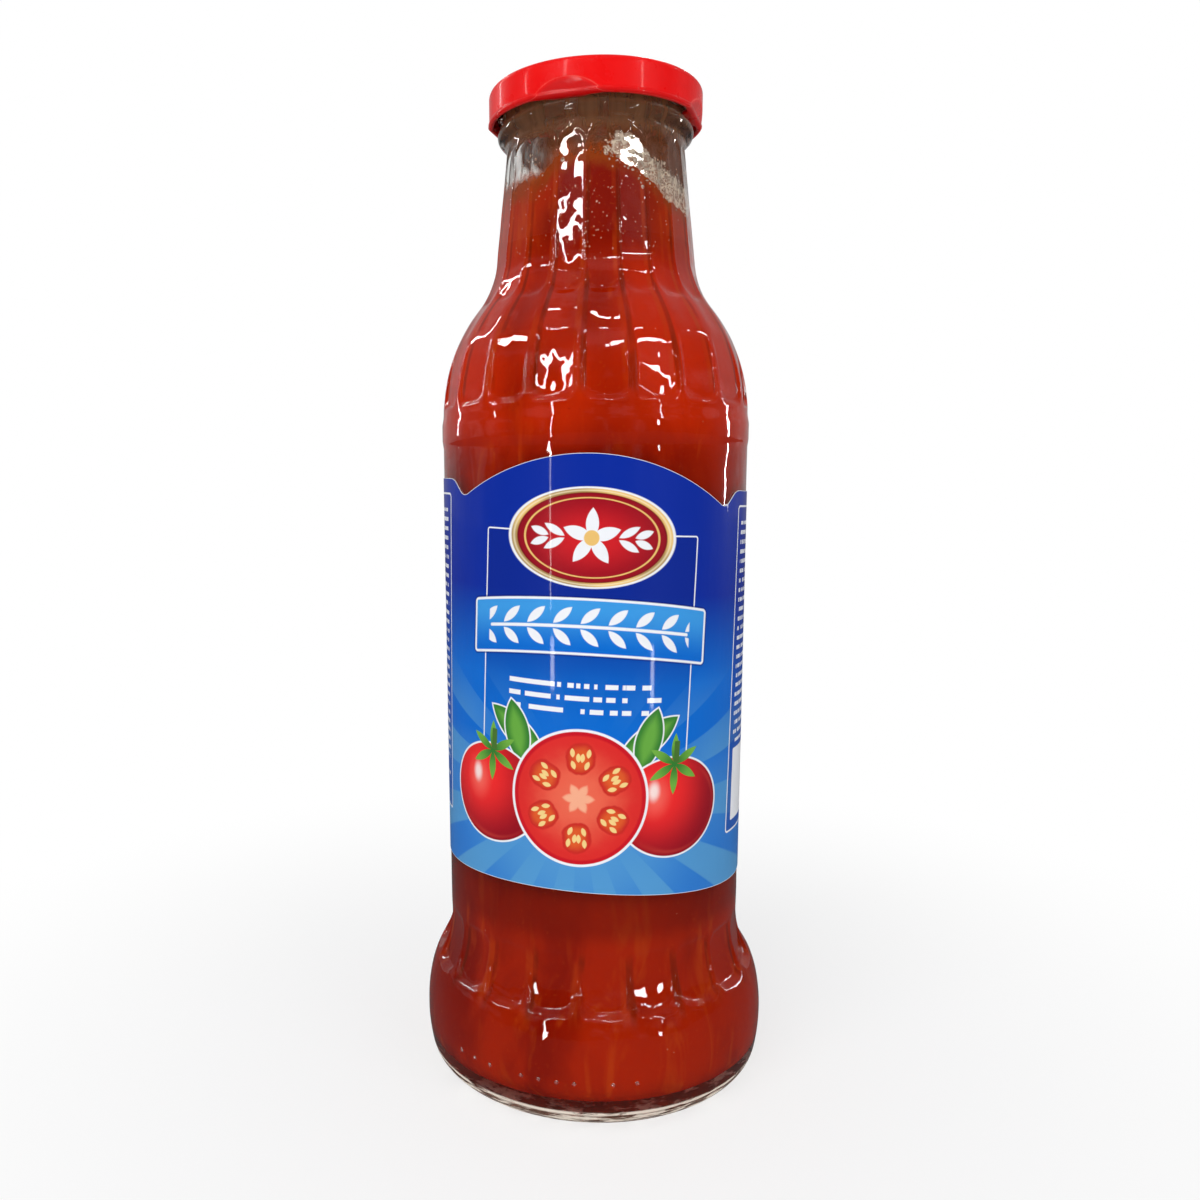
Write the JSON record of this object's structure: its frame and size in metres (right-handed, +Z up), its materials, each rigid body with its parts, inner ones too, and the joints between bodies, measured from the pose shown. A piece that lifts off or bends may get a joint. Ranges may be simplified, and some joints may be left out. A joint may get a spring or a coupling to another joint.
{
  "type": "tomato juice bottle",
  "caption": "Panelled clear glass bottle of tomato juice with a bulged foot, sloping shoulder, wrapped paper label arched at its front, and a pressed red twist-off lid",
  "frame": {"origin": "centre of the ring that the bottle stands on, at the bottom of the part", "axes": "+Z up along the axis of the bottle, the front of the label faces -Y, +X to the right seen from the front"},
  "size_m": [0.0884, 0.0884, 0.241],
  "materials": {
    "glass": "clear moulded glass, glossy, with a faint grey tint in thick stretches",
    "juice": "opaque tomato juice, smooth, a little lighter and more orange where it is thin",
    "label_paper": "coated printed paper, semi-gloss",
    "lid_lacquer": "glossy lacquered tinplate"
  },
  "bodies": {
    "root": {"bottle": "glass", "juice": "juice", "label": "label_paper", "lid": "lid_lacquer"}
  },
  "joints": []
}
